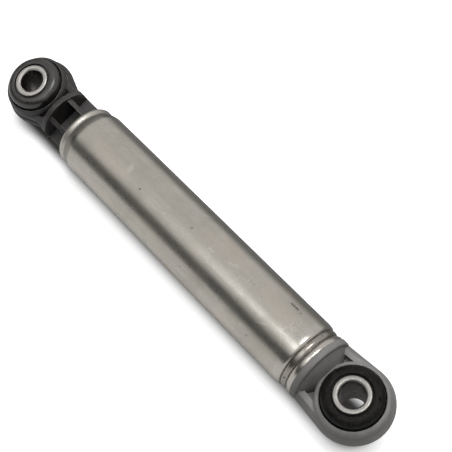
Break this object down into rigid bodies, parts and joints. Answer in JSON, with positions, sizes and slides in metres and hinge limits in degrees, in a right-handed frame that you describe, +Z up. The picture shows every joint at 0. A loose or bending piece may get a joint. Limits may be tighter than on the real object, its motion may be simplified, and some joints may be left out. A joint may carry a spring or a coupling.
{
  "type": "washing machine shock absorber",
  "caption": "Friction shock absorber for a washing machine tub: a ribbed plastic plunger slides in a rolled steel tube, with a rubber-bushed eye at each end.",
  "frame": {"origin": "on the floor under the tube, at the middle of the overall length", "axes": "+X along the tube from the plunger eye to the tube eye, +Z up, with the tube lying on the floor"},
  "size_m": [0.2887, 0.0392, 0.038],
  "materials": {
    "tube_steel": "satin zinc-plated, with fine rolling marks along the crimps",
    "grey_moulding": "matte moulded grey",
    "black_moulding": "matte moulded black, filled with glass fibre",
    "bush_rubber": "matte black rubber",
    "sleeve_steel": "satin, turned end faces",
    "guide_plastic": "smooth natural plastic",
    "lining_foam": "greased open foam"
  },
  "bodies": {
    "tube_unit": {"tube": "tube_steel", "tube_eye": "grey_moulding", "tube_eye_bush": "bush_rubber", "guide_bush": "guide_plastic", "rebound_ring": "bush_rubber"},
    "linings": {"front_lining": "lining_foam", "rear_lining": "lining_foam"},
    "plunger_unit": {"plunger": "black_moulding", "plunger_eye_bush": "bush_rubber"},
    "tube_sleeve": {"tube_eye_sleeve": "sleeve_steel"},
    "plunger_sleeve": {"plunger_eye_sleeve": "sleeve_steel"}
  },
  "joints": [
    {"name": "plunger_stroke", "type": "slide", "parent": "tube_unit", "child": "linings", "axis": [-1, 0, 0], "range_m": [-0.0139, 0.078]},
    {"name": "plunger_turn", "type": "hinge", "parent": "linings", "child": "plunger_unit", "pos_m": [0, 0, 0.019], "axis": [1, 0, 0], "continuous": true},
    {"name": "tube_sleeve_twist", "type": "hinge", "parent": "tube_unit", "child": "tube_sleeve", "pos_m": [0.12405, 0, 0.019], "axis": [0, -0.299, 0.9542], "range_deg": [-15, 15], "stiffness_Nm_per_rad": 25},
    {"name": "plunger_sleeve_twist", "type": "hinge", "parent": "plunger_unit", "child": "plunger_sleeve", "pos_m": [-0.12515, 0, 0.019], "axis": [0, -0.454, 0.891], "range_deg": [-15, 15], "stiffness_Nm_per_rad": 25}
  ]
}
